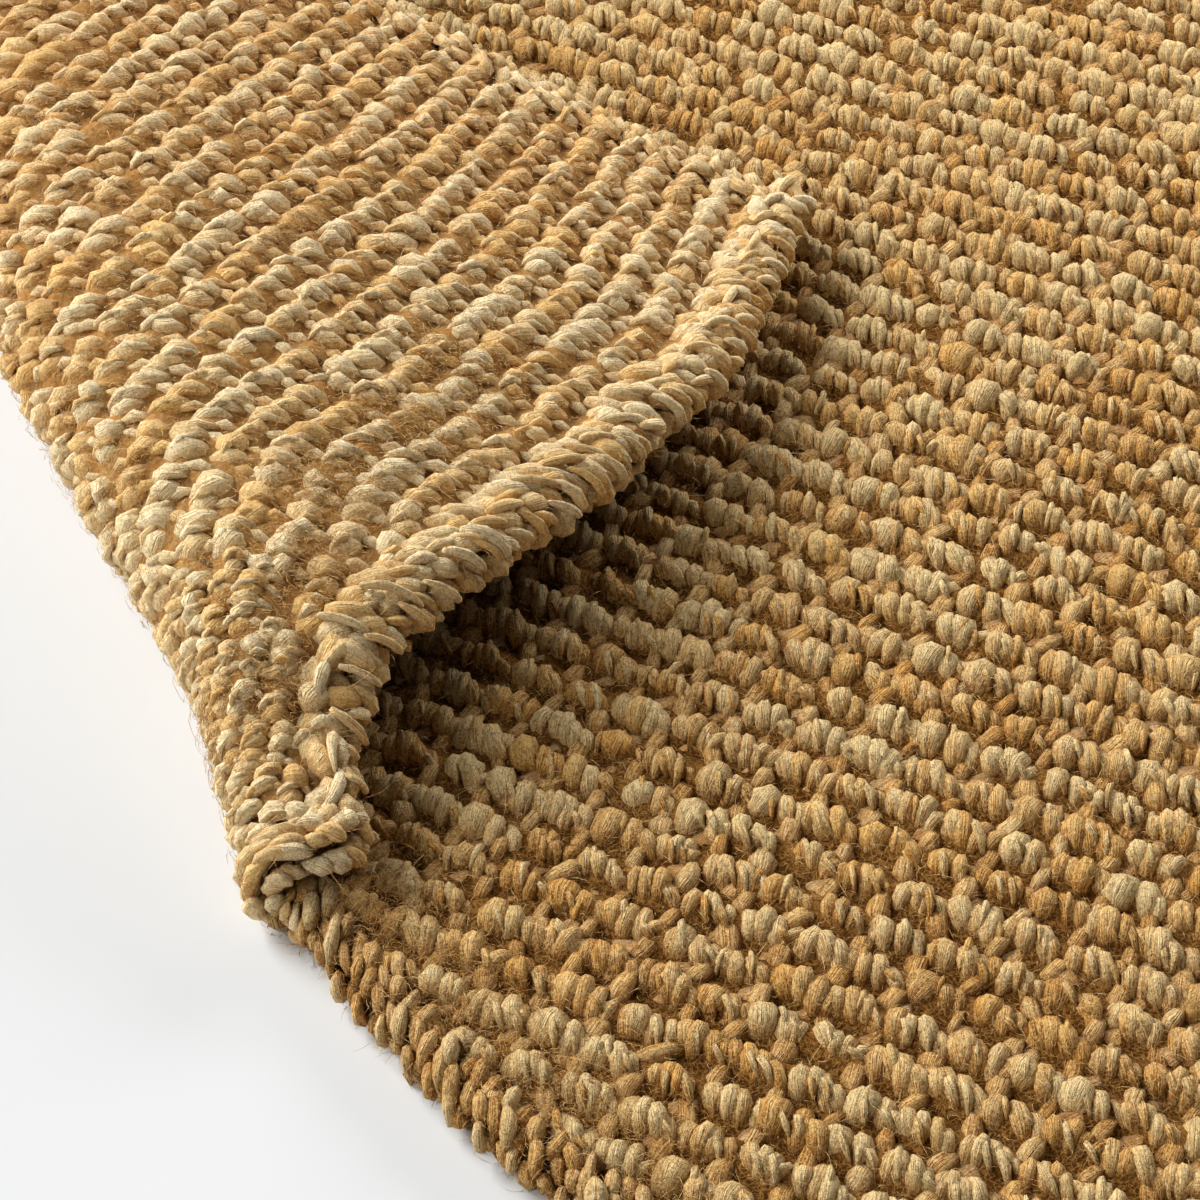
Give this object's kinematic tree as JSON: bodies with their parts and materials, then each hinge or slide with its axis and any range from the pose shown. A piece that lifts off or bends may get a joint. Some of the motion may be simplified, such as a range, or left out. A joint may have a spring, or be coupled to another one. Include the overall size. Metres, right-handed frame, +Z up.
{
  "type": "jute rug",
  "caption": "Chunky hand-woven jute rug lying flat with one corner folded over on itself, showing its underside.",
  "frame": {"origin": "on the floor, under the middle of the rug's box", "axes": "+X along the weft rows, +Y across them towards the far end, +Z up"},
  "size_m": [0.6022, 0.9, 0.059],
  "materials": {
    "jute": "matte"
  },
  "bodies": {
    "root": {"rug": "jute"}
  },
  "joints": []
}
